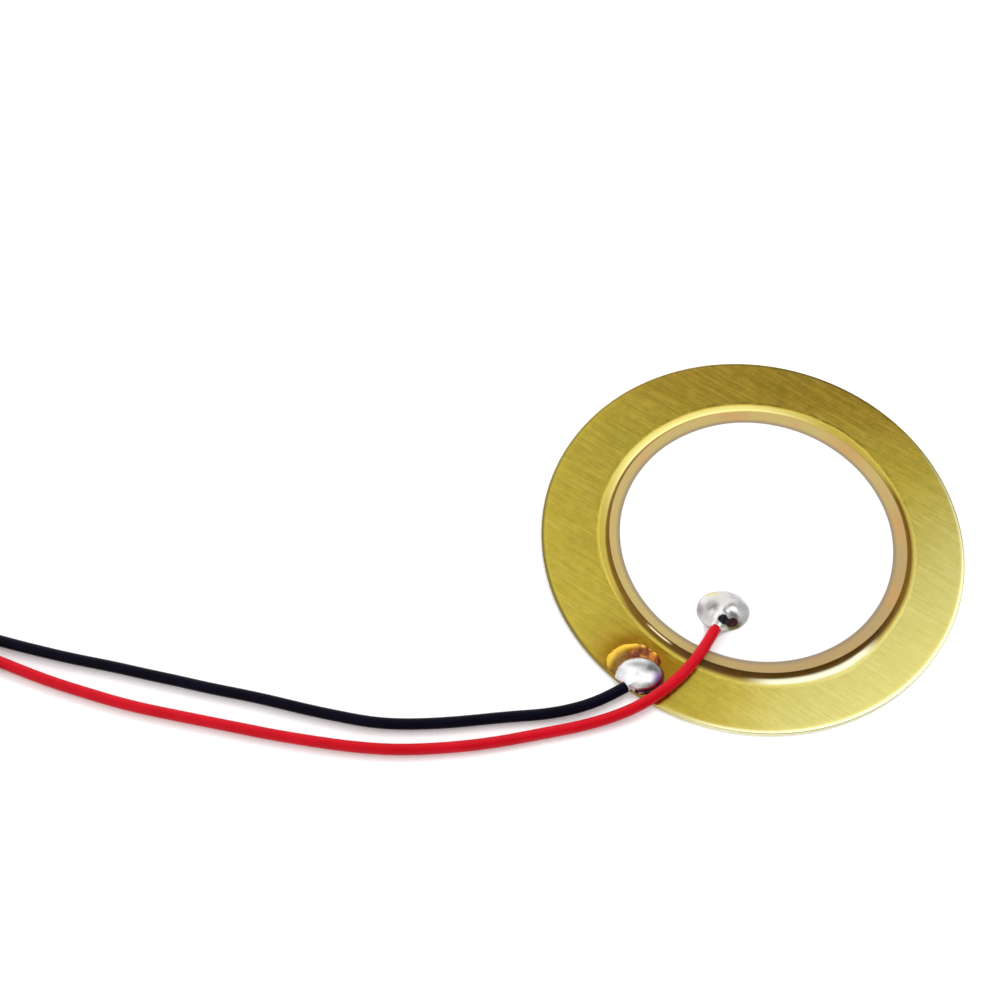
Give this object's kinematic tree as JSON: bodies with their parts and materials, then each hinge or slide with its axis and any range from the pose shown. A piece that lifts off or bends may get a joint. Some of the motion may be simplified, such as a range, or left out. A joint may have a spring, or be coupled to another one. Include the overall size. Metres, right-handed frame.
{
  "type": "piezo disc",
  "caption": "Thin round brass disc with a smaller silvered ceramic disc bonded to its face and red and black leads soldered on, used as a sounder or a vibration sensor.",
  "frame": {"origin": "centre of the brass disc's flat back face, which lies on Z = 0", "axes": "+Z out of the ceramic face, -X the way the leads run off along the surface, +Y from the soldered side towards the disc's far side"},
  "size_m": [0.09, 0.0385, 0.0022],
  "materials": {
    "brass": "brushed, bare",
    "epoxy": "glossy, brown amber",
    "silver": "matte fired silver paste",
    "ceramic": "unglazed, tan",
    "solder": "bright solder",
    "flux": "glossy amber residue",
    "tinned_copper": "tinned",
    "red_insulation": "glossy flexible insulation",
    "black_insulation": "glossy flexible insulation",
    "coil_insulation": "glossy flexible insulation, red inside and black outside",
    "thread": "cotton thread"
  },
  "bodies": {
    "root": {"brass_disc": "brass", "epoxy_bond": "epoxy", "lower_electrode": "silver", "ceramic_disc": "ceramic", "upper_electrode": "silver", "ceramic_solder": "solder", "brass_solder": "solder", "flux_residue": "flux", "red_core_joint_end": "tinned_copper", "black_core_joint_end": "tinned_copper", "red_lead": "red_insulation", "black_lead": "black_insulation", "lead_coil": "coil_insulation", "coil_tie": "thread", "red_core_free_end": "tinned_copper", "black_core_free_end": "tinned_copper"}
  },
  "joints": []
}
